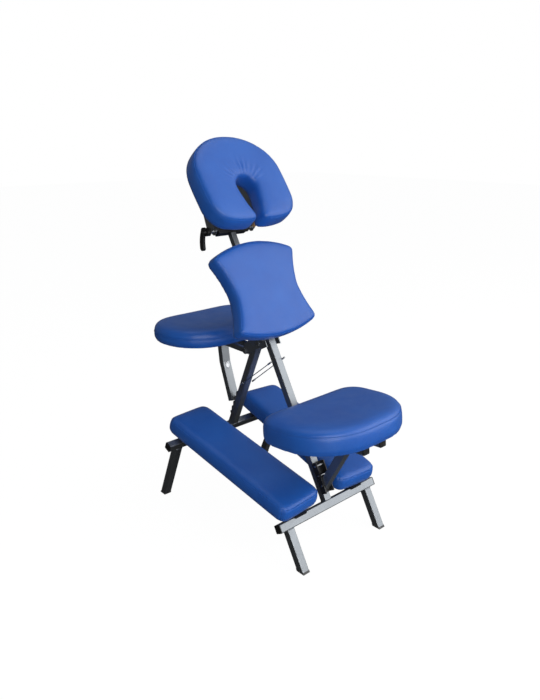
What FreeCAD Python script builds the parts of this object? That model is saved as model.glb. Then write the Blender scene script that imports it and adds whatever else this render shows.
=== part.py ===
import FreeCAD, Part
import math
import os
import Sketcher
from FreeCAD import Placement, Rotation, Vector

# Folding kneeling massage chair.  X is to the client's right, Y is the way the client faces, Z is up.
# The floor is z = 0, the chair is symmetric about x = 0, and y = 0 is the middle of its depth.
# In the sheet every y is measured from the line of the rear feet, depth_middle behind y = 0.

DRIVING = {
    # square steel tube
    "tube_side": 25, "tube_wall": 1.5, "tube_corner": 3,
    # the two leaning frames: the spine leans forward, the front tube leans back
    "depth_middle": 311.226,
    "rear_lean": 30, "front_lean": 23, "front_foot_y": 623, "foot_slab": 6, "cap_thickness": 3,
    "rear_bar_z": 119, "rear_bar_half": 200, "rear_leg_x": 167,
    "front_bar_z": 223, "front_bar_half": 264, "front_leg_x": 226,
    "spine_top": 855, "front_tube_top": 640,
    # the fold pivot and the plates that carry it and the armrest pivot
    "fold_y": 355, "fold_z": 565, "plate_inner": 26, "plate_thickness": 3,
    "bolt_radius": 4, "hole_clearance": 0.05, "plate_bolt_along": 673.5,
    # seat
    "seat_pivot_along": 399.6, "seat_tilt": 5.65, "seat_rail_x": 35, "seat_rail_rear": 296,
    "seat_half": 202, "seat_front": 36, "seat_rear": 316, "seat_foam": 59, "board": 9,
    "seat_strut_hang": 216, "seat_strut_length": 214, "seat_strut_angle": 62.7,
    "rack_low": 172, "rack_high": 268, "rack_depth": 20, "rack_play": 2,
    "rack_pin_along": 197.4, "rack_pin_pitch": 30, "rack_pin_behind": 24, "rack_pin_radius": 3,
    # armrest
    "arm_pivot_y": 420, "arm_pivot_z": 526, "arm_rail_x": 20.8, "arm_rail_width": 10,
    "arm_rail_depth": 20, "arm_rail_front": 280, "arm_half": 208, "arm_rear": 55, "arm_front": 315,
    "arm_foam": 46, "arm_strut_y": 574, "arm_strut_z": 523, "arm_strut_width": 30, "arm_strut_depth": 21,
    # chest pad and the telescoping neck
    "chest_low": 664, "chest_sag": 30, "chest_high": 963, "chest_crown": 37, "chest_top_half": 157,
    "chest_waist_half": 121, "chest_waist_along": 808, "chest_low_half": 155,
    "chest_foam": 42, "chest_gap": 27, "sleeve_low": 745, "sleeve_length": 70, "sleeve_wall": 4,
    "sleeve_plate_half": 60, "chest_knob_along": 780, "knob_radius": 18,
    "post_side": 20, "post_wall": 2, "collar_length": 30, "sliding_gap": 0.1,
    "rod_along": 1036, "rod_radius": 6, "rod_half": 96, "head_drop": 14, "head_half": 12, "head_length": 112,
    # face cradle
    "face_tilt": 53, "face_y": 460, "face_z": 1081, "face_half": 160, "face_foam": 67, "face_slot": 39,
    "cradle_arm_x": 74.5, "cradle_arm_width": 23, "cradle_arm_wall": 3, "cradle_eye": 13,
    # knee pads
    "knee_slope": 12.8, "knee_splay": 4, "knee_x": 120, "knee_width": 156, "knee_length": 537,
    "knee_lift": 21, "knee_foam": 42, "knee_corner": 24, "hinge_bore": 16.5, "hinge_width": 44,
    "saddle_along": 470.6, "saddle_width": 50,
    # steel cables between the frames
    "cable_x": 15.5, "cable_radius": 1.5, "ferrule_radius": 2.6, "ferrule_length": 18,
}

doc = FreeCAD.newDocument("kneeling_massage_chair")
sheet = doc.addObject("Spreadsheet::Sheet", "sizes")
for row, (alias, number) in enumerate(DRIVING.items(), start=1):
    sheet.set("A%d" % row, str(number))
    sheet.setAlias("A%d" % row, alias)
doc.recompute()

# Frames of reference, as placement expressions.  In each leaning frame z runs up along the tube.
REAR = "placement(vector(0; 0 - sizes.depth_middle; 0); rotationx(0 - sizes.rear_lean))"
FRONT = "placement(vector(0; sizes.front_foot_y - sizes.depth_middle; 0); rotationx(sizes.front_lean))"
SEAT = ("placement(vector(0; sizes.seat_pivot_along * sin(sizes.rear_lean) - sizes.depth_middle;"
        " sizes.seat_pivot_along * cos(sizes.rear_lean)); rotationx(0 - sizes.seat_tilt))")
SEAT_STRUT = ("placement(vector(0; sizes.seat_pivot_along * sin(sizes.rear_lean)"
              " - sizes.seat_strut_hang * cos(sizes.seat_tilt) - sizes.depth_middle;"
              " sizes.seat_pivot_along * cos(sizes.rear_lean)"
              " + sizes.seat_strut_hang * sin(sizes.seat_tilt));"
              " rotationx(90 - sizes.seat_strut_angle))")
ARM = "placement(vector(0; sizes.arm_pivot_y - sizes.depth_middle; sizes.arm_pivot_z); rotationx(0))"
ARM_STRUT = "placement(vector(0; sizes.arm_strut_y - sizes.depth_middle; sizes.arm_strut_z); rotationx(0))"
FACE = "placement(vector(0; sizes.face_y - sizes.depth_middle; sizes.face_z); rotationx(sizes.face_tilt))"
KNEE_AXIS = ("vector({side} * sizes.knee_x; sizes.rear_bar_z * tan(sizes.rear_lean) - sizes.depth_middle;"
             " sizes.rear_bar_z)")
KNEE_FLAT = "placement(" + KNEE_AXIS + "; rotationx(sizes.knee_slope))"
KNEE = "placement(" + KNEE_AXIS + "; rotationx(sizes.knee_slope) * rotationz(0 - {side} * sizes.knee_splay))"

REAR_BAR = "sizes.rear_bar_z / cos(sizes.rear_lean)"
FRONT_BAR = "sizes.front_bar_z / cos(sizes.front_lean)"
HALF_TUBE = "sizes.tube_side / 2"
TUBE_BORE = "(sizes.tube_side - 2 * sizes.tube_wall)"
FOLD_Y_IN_FRONT = ("(sizes.fold_y - sizes.front_foot_y) * cos(sizes.front_lean)"
                   " + sizes.fold_z * sin(sizes.front_lean)")
FOLD_Z_IN_FRONT = ("sizes.fold_z * cos(sizes.front_lean)"
                   " - (sizes.fold_y - sizes.front_foot_y) * sin(sizes.front_lean)")
FOLD_Y_IN_REAR = "sizes.fold_y * cos(sizes.rear_lean) - sizes.fold_z * sin(sizes.rear_lean)"
FOLD_Z_IN_REAR = "sizes.fold_y * sin(sizes.rear_lean) + sizes.fold_z * cos(sizes.rear_lean)"
ARM_Y_IN_REAR = "sizes.arm_pivot_y * cos(sizes.rear_lean) - sizes.arm_pivot_z * sin(sizes.rear_lean)"
ARM_Z_IN_REAR = "sizes.arm_pivot_y * sin(sizes.rear_lean) + sizes.arm_pivot_z * cos(sizes.rear_lean)"
BOLT_HOLE = "sizes.bolt_radius + sizes.hole_clearance"

# the bulge of a half circle over its chord, a hair shallow so that its radius can be solved
HALF_CIRCLE = 0.4995

SIDES = (("left", -1), ("right", 1))

# the right half of the face cushion's rim, from the lobe beside the gap up to the crown: across and
# up as shares of face_half, and how far the stretch to the next corner bows outwards in mm
FACE_RIM = ((0.19, -1.06, 2), (0.67, -1.01, 5), (0.91, -0.83, 6), (1, -0.46, 2), (1, 0, 9), (0.77, 0.48, 5),
            (0.37, 0.71, 9))
# the right half of its face opening, from the arch down to the gap: across as a share of face_slot
FACE_OPENING = ((1, -54), (0.68, -115), (0.28, -150))

# y and z of the front and the rear end of each steel cable
CABLE_ENDS = {"left": ((456, 397), (312, 511)), "right": ((433, 408), (285, 527))}

PARTS = []


def value(expression):
    """The number that an expression of the sheet gives."""
    return float(sheet.evalExpression(str(expression)))


def keep(item):
    """Register a finished sub-part: its Label names its file."""
    PARTS.append(item)
    return item


def place(item, frame):
    item.setExpression("Placement", frame)
    return item


def new_body(label, frame):
    body = doc.addObject("PartDesign::Body", label)
    body.Label = label
    return place(body, frame)


def new_sketch(body, plane, offset=("0", "0", "0")):
    """A sketch on one of the body's origin planes, moved in the plane by the first two offsets
    and along the plane's normal by the third."""
    sketch = body.newObject("Sketcher::SketchObject", body.Label + "_sketch")
    support = [item for item in body.Origin.OriginFeatures if item.Role == plane][0]
    sketch.AttachmentSupport = [(support, "")]
    sketch.MapMode = "FlatFace"
    for axis, expression in zip("xyz", offset):
        sketch.setExpression("AttachmentOffset.Base." + axis, str(expression))
    return sketch


def bound(sketch, kind, *arguments):
    """Add a dimension to a sketch and bind it to an expression, the last argument."""
    index = sketch.addConstraint(Sketcher.Constraint(kind, *arguments[:-1], value(arguments[-1])))
    sketch.setExpression("Constraints[%d]" % index, str(arguments[-1]))


def outline(sketch, corners):
    """A closed outline through corners (across, up, bulge).  A bulge above zero bows the stretch
    to the next corner outwards by that much, for an outline drawn anticlockwise."""
    places = [Vector(value(across), value(up), 0) for across, up, bulge in corners]
    ends = []
    for number, (across, up, bulge) in enumerate(corners):
        start = places[number]
        finish = places[(number + 1) % len(places)]
        depth = value(bulge)
        if abs(depth) > HALF_CIRCLE * (finish - start).Length:
            depth = math.copysign(HALF_CIRCLE * (finish - start).Length, depth)
        if depth == 0:
            edge = sketch.addGeometry(Part.LineSegment(start, finish), False)
            ends.append((edge, 1, 2))
            continue
        chord = finish - start
        outward = Vector(chord.y, -chord.x, 0).normalize()
        edge = sketch.addGeometry(Part.Arc(start, (start + finish) / 2 + outward * depth, finish), False)
        ends.append((edge, 1, 2) if depth > 0 else (edge, 2, 1))
        bound(sketch, "Radius", edge, (chord.Length ** 2 / 4 + depth ** 2) / (2 * abs(depth)))
    for number, (edge, first, last) in enumerate(ends):
        following = ends[(number + 1) % len(ends)]
        sketch.addConstraint(Sketcher.Constraint("Coincident", edge, last, following[0], following[1]))
        bound(sketch, "DistanceX", -1, 1, edge, first, corners[number][0])
        bound(sketch, "DistanceY", -1, 1, edge, first, corners[number][1])


def rectangle(sketch, width, height):
    """A rectangle centred on the sketch's origin."""
    half_width = "(%s) / 2" % width
    half_height = "(%s) / 2" % height
    outline(sketch, [("0 - " + half_width, "0 - " + half_height, 0),
                     (half_width, "0 - " + half_height, 0),
                     (half_width, half_height, 0),
                     ("0 - " + half_width, half_height, 0)])


def circle(sketch, radius):
    edge = sketch.addGeometry(Part.Circle(Vector(0, 0, 0), Vector(0, 0, 1), value(radius)), False)
    sketch.addConstraint(Sketcher.Constraint("Coincident", edge, 3, -1, 1))
    bound(sketch, "Radius", edge, radius)


def pad(body, sketch, length, middle=False):
    feature = body.newObject("PartDesign::Pad", body.Label + "_pad")
    feature.Profile = sketch
    feature.SideType = "Symmetric" if middle else "One side"
    feature.setExpression("Length", str(length))
    doc.recompute()
    body.Tip = feature
    return feature


def through(body, sketch):
    """Cut a sketch right through the body, both ways from the sketch."""
    feature = body.newObject("PartDesign::Pocket", body.Label + "_cut")
    feature.Profile = sketch
    feature.Type = "ThroughAll"
    feature.SideType = "Symmetric"
    doc.recompute()
    body.Tip = feature
    return feature


def edges_where(feature, test):
    return ["Edge%d" % number for number, edge in enumerate(feature.Shape.Edges, start=1) if test(edge)]


def fillet(body, feature, names, radius):
    rounded = body.newObject("PartDesign::Fillet", body.Label + "_fillet")
    rounded.Base = (feature, names)
    rounded.setExpression("Radius", str(radius))
    doc.recompute()
    body.Tip = rounded
    return rounded


def along(axis):
    """A test for straight edges that run along an axis of the body."""
    def test(edge):
        span = edge.Vertexes[-1].Point - edge.Vertexes[0].Point
        return span.Length > 0 and abs(span.normalize().dot(axis)) > 0.999
    return test


def at_height(height):
    """A test for edges that lie wholly at one height of the body."""
    def test(edge):
        box = edge.BoundBox
        return abs(box.ZMin - height) < 0.01 and abs(box.ZMax - height) < 0.01
    return test


PLANE_OF = {"x": ("YZ_Plane", Vector(1, 0, 0)), "y": ("XZ_Plane", Vector(0, 1, 0)),
            "z": ("XY_Plane", Vector(0, 0, 1))}


def tube(label, frame, axis, offset, width, height, length, wall="sizes.tube_wall", holes=()):
    """A rounded rectangular tube along an axis, with round holes drilled across it along x.
    The offset is in the plane across the tube; along y the pad runs backwards from its front end."""
    body = new_body(label, frame)
    plane, direction = PLANE_OF[axis]
    profile = new_sketch(body, plane, offset)
    rectangle(profile, width, height)
    solid = pad(body, profile, length)
    rounded = fillet(body, solid, edges_where(solid, along(direction)), "sizes.tube_corner")
    bore = new_sketch(body, plane, offset)
    rectangle(bore, "%s - 2 * %s" % (width, wall), "%s - 2 * %s" % (height, wall))
    through(body, bore)
    for across, up, radius in holes:
        hole = new_sketch(body, "YZ_Plane", (across, up, "0"))
        circle(hole, radius)
        through(body, hole)
    return keep(body)


def plate(label, frame, corners, thickness, middle, holes=(), plane="YZ_Plane"):
    """A flat plate: an outline padded to both sides of its middle plane, with round holes."""
    body = new_body(label, frame)
    profile = new_sketch(body, plane, ("0", "0", middle))
    outline(profile, corners)
    pad(body, profile, thickness, middle=True)
    for across, up, radius in holes:
        hole = new_sketch(body, plane, (across, up, "0"))
        circle(hole, radius)
        through(body, hole)
    return body


def mirrored(label, source):
    """The mirror image of a sub-part in the chair's middle plane."""
    mirror = doc.addObject("Part::Mirroring", label)
    mirror.Label = label
    mirror.Source = source
    mirror.Normal = Vector(1, 0, 0)
    return keep(mirror)


def group(label, members):
    """Identical pieces that share one node, as separate solids."""
    compound = doc.addObject("Part::Compound", label)
    compound.Label = label
    compound.Links = members
    return keep(compound)


def cross_bolt(label, frame, y, z, half):
    """A bolt across the chair: its shank, a hexagonal head at the left and a nut at the right."""
    body = new_body(label, frame)
    shank = new_sketch(body, "YZ_Plane", (y, z, "0"))
    circle(shank, "sizes.bolt_radius")
    pad(body, shank, "2 * (%s)" % half, middle=True)
    for side in (-1, 1):
        hexagon = new_sketch(body, "YZ_Plane", (y, z, "%d * (%s + sizes.bolt_radius / 2)" % (side, half)))
        corners = [("2 * sizes.bolt_radius * cos(%d)" % angle, "2 * sizes.bolt_radius * sin(%d)" % angle, 0)
                   for angle in range(0, 360, 60)]
        outline(hexagon, corners)
        pad(body, hexagon, "sizes.bolt_radius", middle=True)
    return body


# ---- rear frame ------------------------------------------------------------------------------

def rear_frame():
    bar_top = REAR_BAR + " + " + HALF_TUBE
    tube("spine_tube", REAR, "z", ("0", "0", bar_top), "sizes.tube_side", "sizes.tube_side",
         "sizes.spine_top - (%s)" % bar_top,
         holes=(("0", "sizes.seat_pivot_along", BOLT_HOLE), ("0", "sizes.plate_bolt_along", BOLT_HOLE)))
    tube("rear_crossbar", REAR, "x", ("0", REAR_BAR, "0 - sizes.rear_bar_half"),
         "sizes.tube_side", "sizes.tube_side", "2 * sizes.rear_bar_half")
    legs("rear", REAR, "sizes.rear_leg_x", REAR_BAR, "sizes.rear_lean")
    end_caps("rear_crossbar_caps", REAR, "0", REAR_BAR, "sizes.rear_bar_half")


def legs(end, frame, leg_x, bar, lean):
    """The two short legs under a crossbar, cut level above the floor, and their foot tips."""
    tips = []
    level = "sizes.foot_slab / cos(%s)" % lean
    for side, sign in SIDES:
        leg = new_body("%s_leg_%s" % (end, side), frame)
        profile = new_sketch(leg, "XY_Plane", ("%d * %s" % (sign, leg_x), "0", "0 - sizes.tube_side"))
        rectangle(profile, "sizes.tube_side", "sizes.tube_side")
        solid = pad(leg, profile, "%s - %s + sizes.tube_side" % (bar, HALF_TUBE))
        fillet(leg, solid, edges_where(solid, along(Vector(0, 0, 1))), "sizes.tube_corner")
        bore = new_sketch(leg, "XY_Plane", ("%d * %s" % (sign, leg_x), "0", "0"))
        rectangle(bore, TUBE_BORE, TUBE_BORE)
        through(leg, bore)
        slope = ("" if end == "rear" else "0 - ") + "tan(%s) * sizes.tube_side" % lean
        below = new_sketch(leg, "YZ_Plane")
        outline(below, [("0 - sizes.tube_side", "0 - 2 * sizes.tube_side", 0),
                        ("sizes.tube_side", "0 - 2 * sizes.tube_side", 0),
                        ("sizes.tube_side", "%s + (%s)" % (level, slope), 0),
                        ("0 - sizes.tube_side", "%s - (%s)" % (level, slope), 0)])
        through(leg, below)
        keep(leg)
        tips.append(foot_tip("%s_tip_%s" % (end, side), frame, "%d * %s" % (sign, leg_x), level, slope))
    group("%s_foot_tips" % end, tips)


def foot_tip(label, frame, x, level, slope):
    """A plastic tip under a level-cut leg: a slab whose underside lies on the floor."""
    tip = new_body(label, frame)
    profile = new_sketch(tip, "YZ_Plane", ("0", "0", x))
    drop = "sizes.tube_side / 2"
    rise = "(%s) / 2" % slope
    outline(profile, [("0 - " + drop, "0 - (%s)" % rise, 0), (drop, rise, 0),
                      (drop, "%s + (%s)" % (level, rise), 0),
                      ("0 - " + drop, "%s - (%s)" % (level, rise), 0)])
    pad(tip, profile, "sizes.tube_side", middle=True)
    return tip


def end_caps(label, frame, y, z, half):
    """Plastic caps on the two ends of a crossbar."""
    caps = []
    for side, sign in SIDES:
        cap = new_body("%s_%s" % (label, side), frame)
        middle = "%d * (%s + sizes.cap_thickness / 2)" % (sign, half)
        profile = new_sketch(cap, "YZ_Plane", (y, z, middle))
        rectangle(profile, "sizes.tube_side", "sizes.tube_side")
        solid = pad(cap, profile, "sizes.cap_thickness", middle=True)
        fillet(cap, solid, edges_where(solid, along(Vector(1, 0, 0))), "sizes.tube_corner")
        caps.append(cap)
    group(label, caps)


def apex_plates():
    """The two plates beside the spine that carry the fold and armrest pivots, with their bolts."""
    pivots = {"spine_bolt": ("0", "sizes.plate_bolt_along"),
              "fold_bolt": (FOLD_Y_IN_REAR, FOLD_Z_IN_REAR),
              "armrest_bolt": (ARM_Y_IN_REAR, ARM_Z_IN_REAR)}
    low, high = "sizes.plate_bolt_along - 28", "sizes.plate_bolt_along + 36"
    corners = [("0 - " + HALF_TUBE, low, 0),
               ("%s - 2" % FOLD_Y_IN_REAR, "%s - 14" % FOLD_Z_IN_REAR, 0),
               ("%s - 4" % ARM_Y_IN_REAR, "%s - 11" % ARM_Z_IN_REAR, 9),
               ("%s + 8" % ARM_Y_IN_REAR, "%s + 10" % ARM_Z_IN_REAR, 0),
               (HALF_TUBE, high, 0), ("0 - " + HALF_TUBE, high, 0)]
    holes = [(across, up, BOLT_HOLE) for across, up in pivots.values()]
    group("apex_plates", [plate("apex_plate_" + side, REAR, corners, "sizes.plate_thickness",
                                "%d * (sizes.plate_inner + sizes.plate_thickness / 2)" % sign, holes)
                          for side, sign in SIDES])
    end = "sizes.plate_inner + sizes.plate_thickness"
    group("apex_bolts", [cross_bolt(name, REAR, across, up, end) for name, (across, up) in pivots.items()])
    group("apex_spacers", spacers("apex_spacer", "sizes.plate_bolt_along", "sizes.plate_inner"))


def spacers(label, z, outer):
    """Bushes on a cross bolt between the spine and what stands beside it."""
    pair = []
    for side, sign in SIDES:
        bush = new_body("%s_%s" % (label, side), REAR)
        middle = "%d * (%s + %s) / 2" % (sign, HALF_TUBE, outer)
        ring = new_sketch(bush, "YZ_Plane", ("0", z, middle))
        circle(ring, "2 * sizes.bolt_radius - 1")
        pad(bush, ring, "%s - %s" % (outer, HALF_TUBE), middle=True)
        bore = new_sketch(bush, "YZ_Plane", ("0", z, "0"))
        circle(bore, BOLT_HOLE)
        through(bush, bore)
        pair.append(bush)
    return pair


def seat_mount():
    """The seat pivot bolt and its bushes, and the rack for the seat strut behind the spine."""
    inner = "sizes.seat_rail_x - " + HALF_TUBE
    keep(cross_bolt("seat_pivot_bolt", REAR, "0", "sizes.seat_pivot_along",
                    "sizes.seat_rail_x + " + HALF_TUBE))
    group("seat_pivot_bushes", spacers("seat_pivot_bush", "sizes.seat_pivot_along", inner))
    behind = "0 - %s - sizes.rack_depth" % HALF_TUBE
    front = "0 - " + HALF_TUBE
    body = plate("seat_rack", REAR,
                 [(behind, "sizes.rack_low", 0), (front, "sizes.rack_low", 0),
                  (front, "sizes.rack_high", 0), (behind, "sizes.rack_high", 0)],
                 "sizes.tube_side + 2 * sizes.rack_play + 2 * sizes.plate_thickness", "0")
    channel = new_sketch(body, "XY_Plane")
    wide = HALF_TUBE + " + sizes.rack_play"
    web = "0 - %s - sizes.plate_thickness" % HALF_TUBE
    outline(channel, [("0 - (%s)" % wide, behind + " - 10", 0), (wide, behind + " - 10", 0),
                      (wide, web, 0), ("0 - (%s)" % wide, web, 0)])
    through(body, channel)
    pins = []
    for number in range(3):
        height = "sizes.rack_pin_along + %d * sizes.rack_pin_pitch" % number
        seat = new_sketch(body, "YZ_Plane", ("0 - sizes.rack_pin_behind", height, "0"))
        circle(seat, "sizes.rack_pin_radius")
        through(body, seat)
        pin = new_body("seat_rack_pin_%d" % (number + 1), REAR)
        profile = new_sketch(pin, "YZ_Plane", ("0 - sizes.rack_pin_behind", height, "0"))
        circle(profile, "sizes.rack_pin_radius")
        pad(pin, profile, "2 * (%s + sizes.plate_thickness + 2)" % wide, middle=True)
        pins.append(pin)
    keep(body)
    group("seat_rack_pins", pins)


def spine_collar():
    """The plastic collar in the top of the spine that guides the neck post."""
    body = new_body("spine_collar", REAR)
    sleeve = new_sketch(body, "XY_Plane", ("0", "0", "sizes.spine_top - sizes.collar_length"))
    rectangle(sleeve, TUBE_BORE, TUBE_BORE)
    pad(body, sleeve, "sizes.collar_length")
    flange = new_sketch(body, "XY_Plane", ("0", "0", "sizes.spine_top"))
    rectangle(flange, "sizes.tube_side + 4", "sizes.tube_side + 4")
    pad(body, flange, "sizes.collar_length")
    bore = new_sketch(body, "XY_Plane")
    rectangle(bore, "sizes.post_side + sizes.sliding_gap", "sizes.post_side + sizes.sliding_gap")
    through(body, bore)
    keep(body)


# ---- front frame -----------------------------------------------------------------------------

def front_frame():
    bar_top = FRONT_BAR + " + " + HALF_TUBE
    tube("front_tube", FRONT, "z", ("0", "0", bar_top), "sizes.tube_side", "sizes.tube_side",
         "sizes.front_tube_top - (%s)" % bar_top)
    tube("front_crossbar", FRONT, "x", ("0", FRONT_BAR, "0 - sizes.front_bar_half"),
         "sizes.tube_side", "sizes.tube_side", "2 * sizes.front_bar_half")
    legs("front", FRONT, "sizes.front_leg_x", FRONT_BAR, "sizes.front_lean")
    end_caps("front_crossbar_caps", FRONT, "0", FRONT_BAR, "sizes.front_bar_half")
    lugs = []
    foot_half, eye = 14, 11
    low, high = ["%s %s %d" % (FOLD_Z_IN_FRONT, sign, foot_half) for sign in "-+"]
    inner = "8"
    for side, sign in SIDES:
        lugs.append(plate("front_lug_" + side, FRONT,
                          [("0", low, 0), (inner, low, 0), (inner, high, 0), ("0", high, 0),
                           (FOLD_Y_IN_FRONT, "%s + %d" % (FOLD_Z_IN_FRONT, eye), eye),
                           (FOLD_Y_IN_FRONT, "%s - %d" % (FOLD_Z_IN_FRONT, eye), 0)],
                          "sizes.plate_thickness",
                          "%d * (%s + sizes.plate_thickness / 2)" % (sign, HALF_TUBE),
                          holes=((FOLD_Y_IN_FRONT, FOLD_Z_IN_FRONT, BOLT_HOLE),)))
    group("front_lugs", lugs)


def armrest_rack():
    """The toothed strip on the front of the front tube that the armrest strut stands in."""
    first, pitch, count, rise, root, width = 290, 22, 5, 8, 3, 16
    corners = [(HALF_TUBE, str(first - 6), 0)]
    for number in range(count):
        tooth = first + number * pitch
        valley = tooth - 6 if number == 0 else tooth - pitch + 6
        corners += [("%s + %d" % (HALF_TUBE, root), str(valley), 0),
                    ("%s + %d" % (HALF_TUBE, rise), str(tooth - 1), 0),
                    ("%s + %d" % (HALF_TUBE, rise), str(tooth + 3), 0),
                    ("%s + %d" % (HALF_TUBE, root), str(tooth + 5), 0)]
    corners.append((HALF_TUBE, str(first + (count - 1) * pitch + 5), 0))
    keep(plate("armrest_rack", FRONT, corners, str(width), "0"))


# ---- soft pads and their boards -----------------------------------------------------------

def slab(label, frame, half, rear, front, low, thickness, corners, roll=None, middle="0"):
    """A slab with round corners in plan: corners gives the rear and the front corner radius.
    A roll rounds its upper edge.  The slab runs from rear to front along y."""
    body = new_body(label, frame)
    profile = new_sketch(body, "XY_Plane", (middle, "0", low))
    outline(profile, [("0 - (%s)" % half, rear, 0), (half, rear, 0), (half, front, 0),
                      ("0 - (%s)" % half, front, 0)])
    solid = pad(body, profile, thickness)
    middle_y = (value(rear) + value(front)) / 2
    upright = along(Vector(0, 0, 1))
    behind = edges_where(solid, lambda edge: upright(edge) and edge.BoundBox.YMax < middle_y)
    solid = fillet(body, solid, behind, corners[0])
    ahead = edges_where(solid, lambda edge: upright(edge) and edge.BoundBox.YMin > middle_y
                        and abs(abs(edge.BoundBox.XMin - value(middle)) - value(half)) < 0.01)
    solid = fillet(body, solid, ahead, corners[1])
    if roll:
        top = value(low) + value(thickness)
        fillet(body, solid, edges_where(solid, at_height(top)), roll)
    return keep(body)


def armrest():
    behind, inset = "14", "9"
    strut_pin = ("sizes.arm_strut_y - sizes.arm_pivot_y", "sizes.arm_strut_z - sizes.arm_pivot_z")
    for side, sign in SIDES:
        tube("armrest_rail_" + side, ARM, "y",
             ("%d * sizes.arm_rail_x" % sign, "0", "0 - sizes.arm_rail_front"),
             "sizes.arm_rail_width", "sizes.arm_rail_depth", "sizes.arm_rail_front + " + behind,
             holes=(("0", "0", BOLT_HOLE), strut_pin + (BOLT_HOLE,)))
    board_low = "sizes.arm_rail_depth / 2"
    slab("armrest_board", ARM, "sizes.arm_half - " + inset, "sizes.arm_rear + " + inset,
         "sizes.arm_front - " + inset, board_low, "sizes.board", ("140", "92"))
    slab("armrest_pad", ARM, "sizes.arm_half", "sizes.arm_rear", "sizes.arm_front",
         board_low + " + sizes.board", "sizes.arm_foam", ("152", "100"), roll="18")
    keep(cross_bolt("armrest_strut_pin", ARM, *strut_pin, "sizes.arm_rail_x + sizes.arm_rail_width / 2"))


def armrest_strut():
    """The bent strut from the armrest down to the rack: straight, then bent back to its foot."""
    half = "sizes.arm_strut_depth / 2"
    bend_y, bend_z, foot_y, foot_z = "11", "77", "57", "205"
    corners = [("0 - " + half, "0", 0), ("0 - %s - %s" % (bend_y, half), "2.5 - " + bend_z, 0),
               ("0 - %s - 0.94 * %s" % (foot_y, half), "0.34 * %s - %s" % (half, foot_z), 0),
               ("0.94 * %s - %s" % (half, foot_y), "0 - 0.34 * %s - %s" % (half, foot_z), 0),
               ("%s - %s" % (half, bend_y), "0 - 2.5 - " + bend_z, 0), (half, "0", half)]
    keep(plate("armrest_strut", ARM_STRUT, corners, "sizes.arm_strut_width", "0",
               holes=(("0", "0", BOLT_HOLE),)))


def seat():
    reach = "sizes.seat_rail_rear"
    for side, sign in SIDES:
        tube("seat_rail_" + side, SEAT, "y", ("%d * sizes.seat_rail_x" % sign, "0", "0 - 14"),
             "sizes.tube_side", "sizes.tube_side", reach + " + 14",
             holes=(("0", "0", BOLT_HOLE), ("0 - sizes.seat_strut_hang", "0", BOLT_HOLE)))
    caps = []
    for side, sign in SIDES:
        cap = new_body("seat_rail_cap_" + side, SEAT)
        profile = new_sketch(cap, "XZ_Plane", ("%d * sizes.seat_rail_x" % sign, "0", reach))
        rectangle(profile, "sizes.tube_side", "sizes.tube_side")
        solid = pad(cap, profile, "sizes.cap_thickness")
        fillet(cap, solid, edges_where(solid, along(Vector(0, 1, 0))), "sizes.tube_corner")
        caps.append(cap)
    group("seat_rail_caps", caps)
    inset = "8"
    rear, front = "0 - sizes.seat_rear", "0 - sizes.seat_front"
    slab("seat_board", SEAT, "sizes.seat_half - " + inset, "%s + %s" % (rear, inset),
         "%s - %s" % (front, inset), HALF_TUBE, "sizes.board", ("150", "55"))
    slab("seat_pad", SEAT, "sizes.seat_half", rear, front, HALF_TUBE + " + sizes.board",
         "sizes.seat_foam", ("160", "62"), roll="20")
    keep(cross_bolt("seat_strut_pin", SEAT, "0 - sizes.seat_strut_hang", "0",
                    "sizes.seat_rail_x + " + HALF_TUBE))


def seat_strut():
    """The strut under the seat: its hooked foot rests on a rack pin and is open towards the spine."""
    reach = "sizes.seat_strut_length"
    skew = "tan(sizes.seat_strut_angle - sizes.rear_lean) * " + HALF_TUBE
    body = plate("seat_strut", SEAT_STRUT,
                 [("0 - " + HALF_TUBE, "0", 0), ("0 - " + HALF_TUBE, "0 - %s - %s" % (reach, skew), 0),
                  (HALF_TUBE, "%s - %s" % (skew, reach), 0), (HALF_TUBE, "0", HALF_TUBE)],
                 "sizes.tube_side", "0", holes=(("0", "0", BOLT_HOLE),))
    hook = new_sketch(body, "YZ_Plane")
    throat, below = "0 - 5.3", "0 - 30 - " + reach
    outline(hook, [(throat, below, 0), ("20", below, 0), ("20", "20.9 - " + reach, 0),
                   ("0 - 2", "11.1 - " + reach, 1), (throat, "7.7 - " + reach, 0)])
    through(body, hook)
    keep(body)


# ---- chest pad and neck ----------------------------------------------------------------------

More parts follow.
